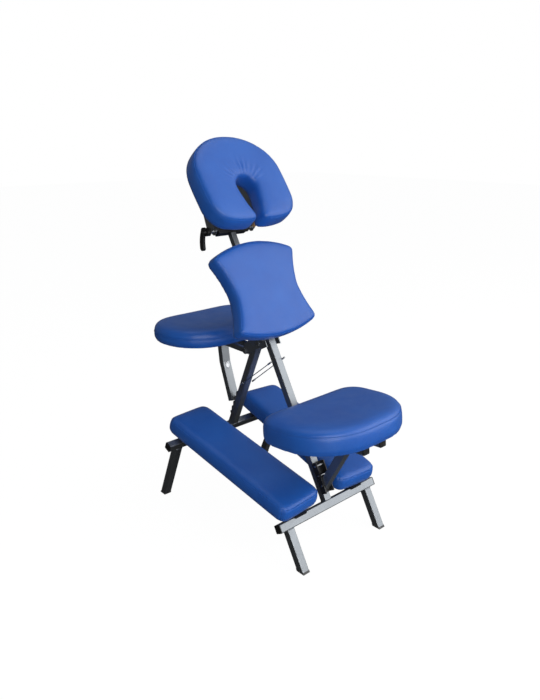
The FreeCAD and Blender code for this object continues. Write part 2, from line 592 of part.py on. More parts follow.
def chest():
    """The chest pad on a sleeve that slides on the spine, with its board between them."""
    def waisted(inset):
        """The pad's outline: bowed at top and bottom, drawn in at the waist."""
        low = "sizes.chest_low + sizes.chest_sag + %d" % inset
        high = "sizes.chest_high - sizes.chest_crown - %d" % inset
        hollow = "0 - 6"
        return [("%d - sizes.chest_low_half" % inset, low, "sizes.chest_sag"),
                ("sizes.chest_low_half - %d" % inset, low, hollow),
                ("sizes.chest_waist_half - %d" % inset, "sizes.chest_waist_along", hollow),
                ("sizes.chest_top_half - %d" % inset, high, "sizes.chest_crown"),
                ("%d - sizes.chest_top_half" % inset, high, hollow),
                ("%d - sizes.chest_waist_half" % inset, "sizes.chest_waist_along", hollow)]

    board = plate_facing_back("chest_board", waisted(10), "sizes.chest_gap", "sizes.board", "8")
    keep(board)
    foam = plate_facing_back("chest_pad", waisted(0), "sizes.chest_gap + sizes.board",
                             "sizes.chest_foam", "10")
    back = 0 - value("sizes.chest_gap + sizes.board + sizes.chest_foam")
    rim = edges_where(foam.Tip, lambda edge: edge.BoundBox.YMax - back < 0.01)
    fillet(foam, foam.Tip, rim, "9")
    keep(foam)

    sleeve = new_body("chest_sleeve", REAR)
    block = new_sketch(sleeve, "XY_Plane", ("0", "0", "sizes.sleeve_low"))
    wide = HALF_TUBE + " + sizes.sleeve_wall"
    seat, step = "0 - sizes.chest_gap", "sizes.sleeve_wall - sizes.chest_gap"
    outline(block, [("0 - sizes.sleeve_plate_half", seat, 0), ("sizes.sleeve_plate_half", seat, 0),
                    ("sizes.sleeve_plate_half", step, 0), (wide, step, 0), (wide, wide, 0),
                    ("0 - (%s)" % wide, wide, 0), ("0 - (%s)" % wide, step, 0),
                    ("0 - sizes.sleeve_plate_half", step, 0)])
    pad(sleeve, block, "sizes.sleeve_length")
    bore = new_sketch(sleeve, "XY_Plane")
    rectangle(bore, "sizes.tube_side + sizes.sliding_gap", "sizes.tube_side + sizes.sliding_gap")
    through(sleeve, bore)
    keep(sleeve)
    hand_knob("chest_knob", "sizes.chest_knob_along", wide)


def plate_facing_back(label, corners, near, thickness, corner):
    """A plate parallel to the spine, behind it: from near to near + thickness behind its middle."""
    body = new_body(label, REAR)
    profile = new_sketch(body, "XZ_Plane", ("0", "0", near))
    outline(profile, corners)
    solid = pad(body, profile, thickness)
    waist = value("sizes.chest_waist_along")
    across = along(Vector(0, 1, 0))
    sharp = edges_where(solid, lambda edge: across(edge) and abs(edge.BoundBox.ZMin - waist) > 1)
    fillet(body, solid, sharp, corner)
    return body


def hand_knob(label, height, start):
    """A hand knob on the front of the spine: a hub, and a grip with six lobes."""
    hub_radius, hub_length, grip_length, lobe = "8", "8", "16", "3"
    body = new_body(label, REAR)
    hub = new_sketch(body, "XZ_Plane", ("0", height, "0 - (%s) - %s" % (start, hub_length)))
    circle(hub, hub_radius)
    pad(body, hub, hub_length)
    grip = new_sketch(body, "XZ_Plane",
                      ("0", height, "0 - (%s) - %s - %s" % (start, hub_length, grip_length)))
    outline(grip, [("sizes.knob_radius * cos(%d)" % angle, "sizes.knob_radius * sin(%d)" % angle, lobe)
                   for angle in range(0, 360, 60)])
    pad(body, grip, grip_length)
    keep(body)


def neck():
    """The post that slides in the spine, the head on its top and the rod that the cradle turns on."""
    top = "sizes.rod_along - sizes.head_drop"
    tube("neck_post", REAR, "z", ("0", "0", "sizes.sleeve_low"), "sizes.post_side", "sizes.post_side",
         top + " - sizes.sleeve_low", wall="sizes.post_wall")
    keep(plate("neck_head", REAR,
               [("0 - sizes.head_half", top, 0), ("sizes.head_half", top, 0),
                ("sizes.head_half", "sizes.rod_along", "sizes.head_half"),
                ("0 - sizes.head_half", "sizes.rod_along", 0)],
               "sizes.head_length", "0", holes=(("0", "sizes.rod_along", "sizes.rod_radius"),)))
    rod = new_body("cradle_rod", REAR)
    profile = new_sketch(rod, "YZ_Plane", ("0", "sizes.rod_along", "0"))
    circle(profile, "sizes.rod_radius")
    pad(rod, profile, "2 * sizes.rod_half", middle=True)
    keep(rod)
    hand_knob("neck_knob", "sizes.spine_top + sizes.collar_length / 2", HALF_TUBE + " + 4")


ROD_RISE = "(sizes.rod_along * cos(sizes.rear_lean) - sizes.face_z)"
ROD_AHEAD = "(sizes.rod_along * sin(sizes.rear_lean) - sizes.face_y)"
ROD_Y_IN_FACE = ROD_AHEAD + " * cos(sizes.face_tilt) + " + ROD_RISE + " * sin(sizes.face_tilt)"
ROD_Z_IN_FACE = "0 - " + ROD_AHEAD + " * sin(sizes.face_tilt) + " + ROD_RISE + " * cos(sizes.face_tilt)"
ROD_FIT = "sizes.rod_radius + sizes.hole_clearance"


def horseshoe(inset):
    """The outline of the face cushion, or of a platform that lies inset within it."""
    half = "(sizes.face_half - %d)" % inset
    slot = "(sizes.face_slot + %d)" % inset
    lobe = 6
    corners = []
    for across, up, bulge in FACE_RIM:
        corners.append(("%s * %g" % (half, across), "%s * %g" % (half, up), bulge))
    bulges = [bulge for across, up, bulge in FACE_RIM]
    for (across, up, bulge), bow in zip(reversed(FACE_RIM), reversed([lobe] + bulges[:-1])):
        corners.append(("0 - %s * %g" % (half, across), "%s * %g" % (half, up), bow))
    for across, up in reversed(FACE_OPENING):
        corners.append(("0 - %s * %g" % (slot, across), str(up), "0 - " + slot if across == 1 else 0))
    for across, up in FACE_OPENING:
        corners.append(("%s * %g" % (slot, across), str(up), 0))
    corners[-1] = corners[-1][:2] + (lobe,)
    return corners


def face_cradle():
    """The horseshoe cushion, its plywood platform and the two channel arms that hold it on the rod."""
    back = "0 - sizes.face_foam - sizes.board"
    for label, inset, low, thickness in (("face_cushion", 0, "0 - sizes.face_foam", "sizes.face_foam"),
                                         ("face_platform", 18, back, "sizes.board")):
        body = new_body(label, FACE)
        profile = new_sketch(body, "XY_Plane", ("0", "0", low))
        outline(profile, horseshoe(inset))
        pad(body, profile, thickness)
        keep(body)
    flange_low, flange_high = "0 - 100", "95"
    for side, sign in SIDES:
        middle = "%d * sizes.cradle_arm_x" % sign
        arm = plate("cradle_arm_" + side, FACE,
                    [("%s - sizes.cradle_eye" % ROD_Y_IN_FACE, ROD_Z_IN_FACE, "sizes.cradle_eye"),
                     ("%s + sizes.cradle_eye" % ROD_Y_IN_FACE, ROD_Z_IN_FACE, 8),
                     (flange_high, back, 0), (flange_low, back, 0)],
                    "sizes.cradle_arm_width", middle, holes=((ROD_Y_IN_FACE, ROD_Z_IN_FACE, ROD_FIT),))
        channel = new_sketch(arm, "XY_Plane", (middle, "0", "%s - sizes.cradle_arm_wall" % back))
        rectangle(channel, "sizes.cradle_arm_width - 2 * sizes.cradle_arm_wall", "3 * sizes.face_half")
        hollow = arm.newObject("PartDesign::Pocket", "cradle_arm_hollow_" + side)
        hollow.Profile = channel
        hollow.Length = 150
        doc.recompute()
        arm.Tip = hollow
        keep(arm)


def cam_lever():
    """The cam lever at the left end of the rod: a round hub and a curved handle with a rounded end."""
    hub_x, handle_x = "0 - sizes.rod_half - 1", "0 - sizes.rod_half - 9"
    lever = new_body("cam_lever", REAR)
    hub = new_sketch(lever, "YZ_Plane", ("0", "sizes.rod_along", hub_x))
    circle(hub, "sizes.cradle_eye")
    pad(lever, hub, "9")
    handle = new_sketch(lever, "YZ_Plane", ("0", "sizes.rod_along", handle_x))
    outline(handle, [("0 - 9", "6", "0 - 4"), ("26", "0 - 44", 8), ("41", "0 - 33", 4), ("8", "10", 7)])
    pad(lever, handle, "8.5")
    bore = new_sketch(lever, "YZ_Plane", ("0", "sizes.rod_along", "0"))
    circle(bore, ROD_FIT)
    through(lever, bore)
    keep(lever)


# ---- knee pads -------------------------------------------------------------------------------

def knee_pads():
    """The left knee pad with its board, rear hinge and front saddle, all mirrored for the right."""
    side = "(0 - 1)"
    splayed, straight = KNEE.format(side=side), KNEE_FLAT.format(side=side)
    rear = "0 - 3"
    front = "sizes.knee_length - 3"
    board = slab("knee_board_left", splayed, "sizes.knee_width / 2 - 6", rear + " + 6", front + " - 6",
                 "sizes.knee_lift", "sizes.board", ("18", "18"))
    foam = slab("knee_pad_left", splayed, "sizes.knee_width / 2", rear, front,
                "sizes.knee_lift + sizes.board", "sizes.knee_foam",
                ("sizes.knee_corner", "sizes.knee_corner"),
                roll="14")
    hinge = plate("knee_hinge_left", straight,
                  [("0 - 6", "0", 0), ("8", "0 - 18", 0), ("20", "0 - 10", 0), ("20", "sizes.knee_lift", 0),
                   ("0 - 6", "sizes.knee_lift", 0)], "sizes.hinge_width", "0",
                  holes=(("0", "0", "sizes.hinge_bore"),))
    keep(hinge)
    shelf, lip_low, lip = "15.5", "0 - 8", "sizes.saddle_along + 17"
    back = "sizes.saddle_along - 20"
    saddle = plate("knee_saddle_left", straight,
                   [(back, shelf, 0), (lip, shelf, 0), (lip, lip_low, 0), (lip + " + 5", lip_low, 0),
                    (lip + " + 5", "sizes.knee_lift", 0), (back, "sizes.knee_lift", 0)],
                   "sizes.saddle_width", "0 - sizes.saddle_along * tan(sizes.knee_splay)")
    keep(saddle)
    for name, source in (("board", board), ("pad", foam), ("hinge", hinge), ("saddle", saddle)):
        mirrored("knee_%s_right" % name, source)


# ---- cables ----------------------------------------------------------------------------------

def tension_cables():
    """The two steel cables that stop the frames from spreading, each with a ferrule at either end."""
    middle = value("sizes.depth_middle")
    ferrule_length = value("sizes.ferrule_length")
    for side, sign in SIDES:
        front, rear = [Vector(sign * value("sizes.cable_x"), y - middle, z) for y, z in CABLE_ENDS[side]]
        span = rear - front
        pieces = []
        for name, radius, low, length in (("rope", "cable_radius", 0, span.Length),
                                          ("front_ferrule", "ferrule_radius", -5, ferrule_length),
                                          ("rear_ferrule", "ferrule_radius", span.Length + 5 - ferrule_length,
                                           ferrule_length)):
            piece = doc.addObject("Part::Cylinder", "%s_%s" % (name, side))
            piece.setExpression("Radius", "sizes." + radius)
            piece.Height = length
            piece.Placement = Placement(Vector(0, 0, low), Rotation())
            pieces.append(piece)
        cable = doc.addObject("Part::MultiFuse", "tension_cable_" + side)
        cable.Label = "tension_cable_" + side
        cable.Shapes = pieces
        cable.Placement = Placement(front, Rotation(Vector(0, 0, 1), span))
        keep(cable)


rear_frame()
apex_plates()
seat_mount()
spine_collar()
front_frame()
armrest_rack()
armrest()
armrest_strut()
seat()
seat_strut()
chest()
neck()
face_cradle()
cam_lever()
knee_pads()
tension_cables()

doc.recompute()
for item in doc.Objects:
    if "Invalid" in item.State or "Error" in item.State:
        raise RuntimeError("%s did not compute: %s" % (item.Name, item.State))
os.makedirs("parts", exist_ok=True)
for item in PARTS:
    if item.Shape.isNull() or not item.Shape.isValid():
        raise RuntimeError("%s has no valid shape" % item.Label)
    item.Shape.exportStep(os.path.join("parts", item.Label + ".step"))
print("%d sub-parts" % len(PARTS))
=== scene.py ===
import math

import bmesh
import bpy
import numpy as np
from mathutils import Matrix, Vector
from mathutils.bvhtree import BVHTree
from mathutils.kdtree import KDTree


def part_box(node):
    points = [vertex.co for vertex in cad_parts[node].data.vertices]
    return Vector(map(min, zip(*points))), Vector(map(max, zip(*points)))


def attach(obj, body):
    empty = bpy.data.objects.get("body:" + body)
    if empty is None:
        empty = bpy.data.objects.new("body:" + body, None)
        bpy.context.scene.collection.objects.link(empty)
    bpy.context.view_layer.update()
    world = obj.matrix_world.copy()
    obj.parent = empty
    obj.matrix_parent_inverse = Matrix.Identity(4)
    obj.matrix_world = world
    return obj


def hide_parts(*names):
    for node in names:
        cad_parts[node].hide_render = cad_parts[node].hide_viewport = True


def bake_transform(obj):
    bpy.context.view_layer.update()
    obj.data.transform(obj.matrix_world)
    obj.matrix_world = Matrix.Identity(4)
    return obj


# Looks for the folding kneeling massage chair: upholstered pads shaped by cloth simulation over the
# CAD frame, satin metal tube, bright fittings and plywood. Metres; Z up; the client faces +Y.

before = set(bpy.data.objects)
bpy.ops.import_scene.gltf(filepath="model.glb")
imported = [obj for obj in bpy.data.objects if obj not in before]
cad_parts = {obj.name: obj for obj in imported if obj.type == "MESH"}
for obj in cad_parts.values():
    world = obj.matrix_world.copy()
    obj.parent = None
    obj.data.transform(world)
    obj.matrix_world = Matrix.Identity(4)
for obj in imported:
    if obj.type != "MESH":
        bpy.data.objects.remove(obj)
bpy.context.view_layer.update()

# ---- driving sizes -----------------------------------------------------------------------------

# covers
VOXEL = 0.0045            # mesh size that the pads are simulated at
RELAX = 0.6               # how far one smoothing pass moves a point towards its neighbours
EDGE_WEIGHT = 0.7         # smoothing at the stapled edge, as a share of the smoothing higher up
EDGE_SHARE = 0.45         # the smoothing is at full strength from this share of the pad's height
PIN_HEIGHT = 0.010        # the cover is stapled up to this height above the board's underside
COVER_DROP = 0.0003       # the cover laps this far below the board
CROWN = 0.0024            # the cover stands this far off the foam where it isn't stapled
PUFF_LIMIT = 0.0045       # and never bulges further than this
SWELL_PASSES = 24         # smoothing of the bulge, so that the vinyl lies taut
SIM_FRAMES = 20
PRESSURE = 4.0

# seams, pleats and undersides
SEAM_WIDTH = 0.0045       # how wide the vinyl is drawn in along a seam
SEAM_DEPTH = 0.0009       # and how deep
THREAD_RADIUS = 0.0009
SEAM_STEPS = 181          # points round one seam
SEAM_GAP = 0.2            # half the angle in which the seam of an open cushion is left out
DART_START = 0.004        # a corner dart starts this far above the stapled edge
DART_STEPS = 16
ARCH_BELOW_CROWN = 0.178  # centre of the face opening's arch below the cushion's crown
PLEAT_REACH = 0.066       # the pleats are deepest this far from that centre
PLEAT_SPREAD = 0.022      # and fade over this distance
PLEAT_DEPTH = 0.0016
PLEATS_ROUND = 27         # angular frequency of the pleats
CLOTH_SHARE = 0.88        # size of the underside cloth as a share of its board
CLOTH_BELOW = 0.0016      # its lower face lies this far under the board
CLOTH_THICK = 0.002

# frame details
BEAD_RADIUS = 0.0013      # of a weld
BEAD_CORNER = 0.0028      # the weld cuts each corner of the tube by this much
ROPE_RADIUS = 0.0015
FERRULE_RADIUS = 0.0028
FERRULE_PATH = (0.0, 0.0015, 0.016, 0.018)
DIMPLE_RISE = 0.56        # height of the dent in the armrest strut, as a share of the strut's height
DIMPLE_HALF = (0.0085, 0.0125)
# the dent's rings from the rim inwards: size as a share of DIMPLE_HALF, and height above the strut
DIMPLE_RINGS = ((1.0, -0.0002), (0.9, 0.0013), (0.78, 0.0016), (0.6, 0.0009), (0.35, 0.0004))

# stage
PHOTO_AZIMUTH = 41.6      # the camera looks this far from +Y towards +X
PHOTO_PITCH = 18.6        # and this far down
CAMERA_PLACE = (-1.242, -1.3792, 1.174)
LENS = 32.66
SENSOR = 36.0
BRIGHT_SIDE = (0.62, -0.65, 0.44)  # the surround is brightest in this direction
# name: place, target, watts, size
SOFTBOXES = {
    "rear_bank": ((2.0, -2.9, 1.7), (0, -0.1, 0.6), 96, (5.4, 4.4)),
    "camera_fill": ((-1.7, -2.6, 1.3), (0, 0, 0.5), 42, (1.6, 1.6)),
    "top_soft": ((0.2, 0.3, 3.2), (0, 0, 0.5), 13, (2.0, 2.0)),
}

# cover: pad node, board node, body, edge smoothing passes, depth of the seam below the top
PADS = {
    "seat_cover": ("seat_pad", "seat_board", "seat", 16, 0.018),
    "armrest_cover": ("armrest_pad", "armrest_board", "armrest", 22, 0.030),
    "chest_cover": ("chest_pad", "chest_board", "chest_rest", 8, 0.008),
    "knee_cover_left": ("knee_pad_left", "knee_board_left", "knee_rest_left", 10, 0.012),
    "knee_cover_right": ("knee_pad_right", "knee_board_right", "knee_rest_right", 10, 0.012),
    "face_cover": ("face_cushion", "face_platform", "face_rest", 40, 0.014),
}
DARTED = ("knee_cover_left", "knee_cover_right")
OPEN_CUSHION = "face_cover"  # it has an opening, and lies on its board without wrapping it


# ---- materials ---------------------------------------------------------------------------------

class Shader:
    """A material being built: short calls that add nodes and links."""

    def __init__(self, name):
        self.material = bpy.data.materials.new(name)
        self.material.use_nodes = True
        self.nodes = self.material.node_tree.nodes
        self.links = self.material.node_tree.links
        self.surface = self.nodes["Principled BSDF"]

    def add(self, kind, inputs=None, **properties):
        node = self.nodes.new(kind)
        for key, setting in properties.items():
            setattr(node, key, setting)
        for key, source in (inputs or {}).items():
            self.feed(node, key, source)
        return node

    def feed(self, node, key, source):
        if isinstance(source, bpy.types.NodeSocket):
            self.links.new(source, node.inputs[key])
        else:
            node.inputs[key].default_value = source

    def set(self, **settings):
        for key, source in settings.items():
            self.feed(self.surface, key.replace("_", " "), source)

    def place(self):
        return self.add("ShaderNodeTexCoord").outputs["Object"]

    def noise(self, scale, detail=4.0, roughness=0.55, stretch=None):
        vector = self.place()
        if stretch:
            vector = self.add("ShaderNodeMapping", {"Vector": vector, "Scale": stretch}).outputs["Vector"]
        node = self.add("ShaderNodeTexNoise", {"Vector": vector, "Scale": scale, "Detail": detail,
                                               "Roughness": roughness})
        return node.outputs["Fac"]

    def ramp(self, source, low, high, start=0.3, end=0.7):
        node = self.add("ShaderNodeMapRange", {"Value": source, "From Min": start, "From Max": end,
                                               "To Min": low, "To Max": high})
        return node.outputs["Result"]

    def mix(self, factor, first, second):
        node = self.add("ShaderNodeMix", data_type="RGBA")
        self.feed(node, 0, factor)
        self.feed(node, 6, first)
        self.feed(node, 7, second)
        return node.outputs[2]

    def bump(self, height, distance, strength=1.0, after=None):
        inputs = {"Height": height, "Distance": distance, "Strength": strength}
        if after:
            inputs["Normal"] = after
        return self.add("ShaderNodeBump", inputs).outputs["Normal"]

    def math(self, operation, first, second=0.0):
        return self.add("ShaderNodeMath", {0: first, 1: second}, operation=operation).outputs[0]


def colour(red, green, blue):
    return (red, green, blue, 1.0)


def vinyl(name, base, deep, roughness):
    """Upholstery vinyl: a fine pebbled grain, slight clouding of colour and a soft sheen."""
    shade = Shader(name)
    cloud = shade.ramp(shade.noise(9.0, 3.0), 0.0, 1.0)
    cells = shade.add("ShaderNodeTexVoronoi", {"Vector": shade.place(), "Scale": 520.0},
                      feature="DISTANCE_TO_EDGE").outputs["Distance"]
    grain = shade.ramp(cells, 0.0, 1.0, 0.0, 0.25)
    creases = shade.noise(60.0, 5.0, 0.6)
    pores = shade.ramp(cells, 0.82, 1.0, 0.0, 0.12)
    tint = shade.mix(cloud, base, deep)
    shade.set(Base_Color=shade.mix(pores, deep, tint))
    shade.set(Roughness=shade.ramp(shade.noise(26.0, 4.0), roughness - 0.05, roughness + 0.07))
    soft = shade.bump(creases, 0.0006, 0.5)
    shade.set(Normal=shade.bump(grain, 0.00022, 0.55, soft))
    shade.set(Sheen_Weight=0.06, Sheen_Roughness=0.45, Coat_Weight=0.10, Coat_Roughness=0.30)
    return shade.material


def satin_metal(name, light, dark, roughness):
    """Satin finish on steel: fine metallic flake, faint rub marks and lighter worn edges."""
    shade = Shader(name)
    flake = shade.ramp(shade.noise(1500.0, 2.0), 0.0, 1.0)
    cloud = shade.ramp(shade.noise(14.0, 4.0), 0.0, 1.0)
    rubbed = shade.ramp(shade.noise(160.0, 3.0, 0.6, (1.0, 1.0, 0.12)), 0.0, 0.35, 0.5, 0.75)
    edge = shade.ramp(shade.add("ShaderNodeNewGeometry").outputs["Pointiness"], 0.0, 0.7, 0.515, 0.56)
    body = shade.mix(cloud, light, dark)
    worn = colour(0.35, 0.37, 0.39)
    shade.set(Base_Color=shade.mix(shade.math("MAXIMUM", rubbed, edge), body, worn))
    shade.set(Metallic=0.92)
    shade.set(Roughness=shade.math("ADD", shade.ramp(flake, roughness - 0.05, roughness + 0.06, 0.0, 1.0),
                                   shade.ramp(cloud, 0.0, 0.06, 0.0, 1.0)))
    shade.set(Normal=shade.bump(flake, 0.00006, 0.35))
    return shade.material


def black_steel():
    """Black enamel, chipped to the steel in small spots."""
    shade = Shader("black_rack_enamel")
    chips = shade.ramp(shade.noise(240.0, 4.0), 0.0, 0.8, 0.66, 0.74)
    shade.set(Base_Color=shade.mix(chips, colour(0.012, 0.012, 0.013), colour(0.16, 0.16, 0.17)))
    shade.set(Roughness=shade.ramp(shade.noise(70.0), 0.3, 0.5))
    shade.set(Normal=shade.bump(shade.noise(420.0, 3.0), 0.0001, 0.4))
    return shade.material


def bright_steel():
    """Bright plated steel with fine turning marks."""
    shade = Shader("bright_zinc_steel")
    turned = shade.noise(90.0, 6.0, 0.7, (6.0, 1.0, 1.0))
    streaks = shade.ramp(turned, 0.0, 1.0)
    shade.set(Base_Color=shade.mix(streaks, colour(0.66, 0.67, 0.69), colour(0.44, 0.45, 0.47)))
    shade.set(Metallic=1.0)
    shade.set(Roughness=shade.ramp(turned, 0.2, 0.38))
    shade.set(Normal=shade.bump(turned, 0.00008, 0.35))
    return shade.material


def plywood():
    """Birch plywood: thin plies across the thickness and long streaked grain on the faces."""
    shade = Shader("birch_plywood")
    grain = shade.noise(38.0, 8.0, 0.62, (1.0, 7.0, 7.0))
    streak = shade.ramp(grain, 0.0, 1.0)
    pale = shade.mix(streak, colour(0.52, 0.33, 0.16), colour(0.36, 0.20, 0.085))
    plies = shade.noise(5.0, 2.0, 0.5, (1.0, 90.0, 90.0))
    shade.set(Base_Color=shade.mix(shade.ramp(plies, 0.0, 0.5, 0.5, 0.62), pale, colour(0.14, 0.07, 0.03)))
    shade.set(Roughness=shade.ramp(grain, 0.5, 0.72))
    shade.set(Normal=shade.bump(grain, 0.0003, 0.5))
    return shade.material


def moulded(name, lighter):
    """Moulded plastic or rubber: a fine spark texture and a few pale scuffs on black made lighter."""
    shade = Shader(name)
    spark = shade.noise(700.0, 3.0)
    scuff = shade.ramp(shade.noise(45.0, 5.0), 0.0, 0.6, 0.6, 0.72)
    plain, pale = 0.010 * lighter, 0.035 * lighter
    shade.set(Base_Color=shade.mix(scuff, colour(plain, plain, plain), colour(pale, pale, pale)))
    shade.set(Roughness=shade.ramp(spark, 0.34, 0.52))
    shade.set(Normal=shade.bump(spark, 0.00012, 0.5))
    return shade.material


def dust_cloth():
    """The black non-woven cloth stapled under a pad."""
    shade = Shader("black_dust_cloth")
    weave = shade.add("ShaderNodeTexWave", {"Vector": shade.place(), "Scale": 380.0, "Distortion": 1.2},
                      wave_type="BANDS").outputs["Fac"]
    fibres = shade.noise(900.0, 4.0, 0.7)
    shade.set(Base_Color=shade.mix(fibres, colour(0.012, 0.012, 0.013), colour(0.03, 0.03, 0.032)))
    shade.set(Roughness=0.92)
    shade.set(Normal=shade.bump(shade.math("ADD", weave, fibres), 0.00025, 0.6))
    return shade.material


def wire_rope():
    """Laid steel wire: strands that run slantwise round the rope."""
    shade = Shader("laid_wire_rope")
    strands = shade.add("ShaderNodeTexWave", {"Vector": shade.place(), "Scale": 240.0, "Distortion": 0.6},
                        wave_type="BANDS", bands_direction="DIAGONAL").outputs["Fac"]
    shade.set(Base_Color=shade.mix(strands, colour(0.2, 0.2, 0.21), colour(0.62, 0.62, 0.63)))
    shade.set(Metallic=1.0, Roughness=0.3)
    shade.set(Normal=shade.bump(strands, 0.0004, 0.8))
    return shade.material


def stitch_thread():
    """Twisted thread in the colour of the vinyl."""
    shade = Shader("blue_stitch_thread")
    twist = shade.add("ShaderNodeTexWave", {"Vector": shade.place(), "Scale": 900.0}).outputs["Fac"]
    shade.set(Base_Color=shade.mix(twist, colour(0.010, 0.09, 0.40), colour(0.018, 0.14, 0.56)))
    shade.set(Roughness=0.6)
    shade.set(Normal=shade.bump(twist, 0.0002, 0.6))
    return shade.material


SATIN = 0.36  # roughness of the tube's finish
MATERIALS = {
    "frame": satin_metal("satin_grey_tube", colour(0.205, 0.225, 0.245), colour(0.16, 0.175, 0.19), SATIN),
    "dark_frame": satin_metal("satin_graphite_tube", colour(0.20, 0.21, 0.215),
                              colour(0.15, 0.16, 0.165), SATIN),
    "plate": satin_metal("zinc_plate", colour(0.46, 0.465, 0.47), colour(0.38, 0.385, 0.39), SATIN),
    "black_steel": black_steel(),
    "bright": bright_steel(),
    "wood": plywood(),
    "plastic": moulded("black_moulded_plastic", 1.0),
    "cloth": dust_cloth(),
    "rope": wire_rope(),
    "thread": stitch_thread(),
    "vinyl": vinyl("blue_vinyl", colour(0.014, 0.118, 0.50), colour(0.011, 0.096, 0.44), 0.34),
    "tip": moulded("grey_foot_rubber", 6.0),
}

# the CAD nodes that each material covers; every other CAD node is satin grey tube
NODE_MATERIALS = {
    "black_steel": ("seat_rack", "armrest_rack"),
    "dark_frame": ("armrest_strut", "apex_plates", "front_tube", "front_crossbar", "front_leg_left",
                   "front_leg_right", "front_lugs", "armrest_rail_left", "armrest_rail_right"),
    "bright": ("apex_bolts", "apex_spacers", "seat_pivot_bolt", "seat_pivot_bushes", "seat_rack_pins",
               "armrest_strut_pin", "seat_strut_pin", "cradle_rod"),
    "plate": ("cradle_arm_left", "cradle_arm_right"),
    "wood": ("face_platform", "seat_board", "armrest_board", "chest_board", "knee_board_left",
             "knee_board_right"),
    "tip": ("rear_foot_tips", "front_foot_tips"),
    "plastic": ("rear_crossbar_caps", "front_crossbar_caps", "seat_rail_caps", "spine_collar",
                "neck_head", "chest_knob", "neck_knob", "cam_lever", "knee_hinge_left",
                "knee_hinge_right", "knee_saddle_left", "knee_saddle_right"),
    "rope": ("tension_cable_left", "tension_cable_right"),
}


def paint(piece, material):
    piece.data.materials.clear()
    piece.data.materials.append(material)


def dress_frame():
    """Give every CAD node its material, and smooth shading across its rounded corners."""
    chosen = {node: kind for kind, nodes in NODE_MATERIALS.items() for node in nodes}
    for node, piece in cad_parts.items():
        paint(piece, MATERIALS[chosen.get(node, "frame")])
        piece.data.set_sharp_from_angle(angle=math.radians(28))


# ---- meshes ------------------------------------------------------------------------------------

def points_of(mesh):
    flat = np.empty(len(mesh.vertices) * 3)
    mesh.vertices.foreach_get("co", flat)
    return flat.reshape(-1, 3)


def move_to(mesh, points):
    mesh.vertices.foreach_set("co", np.asarray(points, float).ravel())
    mesh.update()


def new_piece(name, mesh):
    piece = bpy.data.objects.new(name, mesh)
    bpy.context.scene.collection.objects.link(piece)
    return piece


def piece_from(name, data):
    """A new piece from a bmesh, which is freed."""
    mesh = bpy.data.meshes.new(name)
    data.to_mesh(mesh)
    data.free()
    return new_piece(name, mesh)


def applied(piece):
    """The piece, with its modifiers turned into mesh."""
    bpy.context.view_layer.update()
    shaped = piece.evaluated_get(bpy.context.evaluated_depsgraph_get())
    mesh = bpy.data.meshes.new_from_object(shaped)
    piece.modifiers.clear()
    piece.data = mesh
    return piece


def main_axis(points):
    """The direction in which a cloud of points is longest, pointing upwards."""
    along = np.linalg.svd(points - points.mean(0), full_matrices=False)[2][0]
    return along if along[2] > 0 else -along


def pad_axes(pad, board):
    """The axes of a pad as rows: across it, along it, and square to its board towards the pad."""
    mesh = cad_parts[board].data
    normal = np.array(max(mesh.polygons, key=lambda face: face.area).normal)
    points = points_of(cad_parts[pad].data)
    if normal @ (points.mean(0) - points_of(mesh).mean(0)) < 0:
        normal = -normal
    flat = points - np.outer(points @ normal, normal)
    in_plane = np.linalg.svd(flat - flat.mean(0), full_matrices=False)[2][:2]
    along = min(in_plane, key=lambda axis: abs(axis[0]))
    if along[1] + along[2] < 0:
        along = -along
    return np.array([np.cross(along, normal), along, normal])


def neighbour_mean(mesh):
    """A function that gives each vertex the mean of its neighbours' values."""
    edges = np.empty(len(mesh.edges) * 2, int)
    mesh.edges.foreach_get("vertices", edges)
    edges = edges.reshape(-1, 2)
    count = np.zeros(len(mesh.vertices))
    np.add.at(count, edges[:, 0], 1)
    np.add.at(count, edges[:, 1], 1)

    def mean(values):
        total = np.zeros_like(values)
        np.add.at(total, edges[:, 0], values[edges[:, 1]])
        np.add.at(total, edges[:, 1], values[edges[:, 0]])
        return (total.T / count).T

    return mean


def smoothed(mesh, points, weight, passes):
    """The points smoothed by their neighbours, as strongly as each point's weight.
    The flat underside stays flat."""
    mean = neighbour_mean(mesh)
    flat = points[:, 2] < points[:, 2].min() + VOXEL / 2
    level = points[flat, 2]
    for _ in range(passes):
        points = points + RELAX * weight[:, None] * (mean(points) - points)
        points[flat, 2] = level
    return points


def evened(mesh, values, passes):
    """One value for each vertex, smoothed by the neighbours' values."""
    mean = neighbour_mean(mesh)
    for _ in range(passes):
        values = values + RELAX * (mean(values) - values)
    return values


def normals_of(mesh):
    flat = np.empty(len(mesh.vertices) * 3)
    mesh.vertex_normals.foreach_get("vector", flat)
    return flat.reshape(-1, 3)


def cover_blank(name, pad, board, axes):
    """The pad's solid carried down round its board, evenly remeshed in the pad's own axes."""
    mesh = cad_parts[pad].data.copy()
    points = points_of(mesh) @ axes.T
    if name != OPEN_CUSHION:
        wrap = points[:, 2] < points[:, 2].min() + 0.001
        points[wrap, 2] = (points_of(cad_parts[board].data) @ axes[2]).min() - COVER_DROP
    move_to(mesh, points)
    blank = new_piece(name, mesh)
    blank.data.materials.clear()
    remesh = blank.modifiers.new("even", "REMESH")
    remesh.mode = "VOXEL"
    remesh.voxel_size = VOXEL
    return applied(blank)


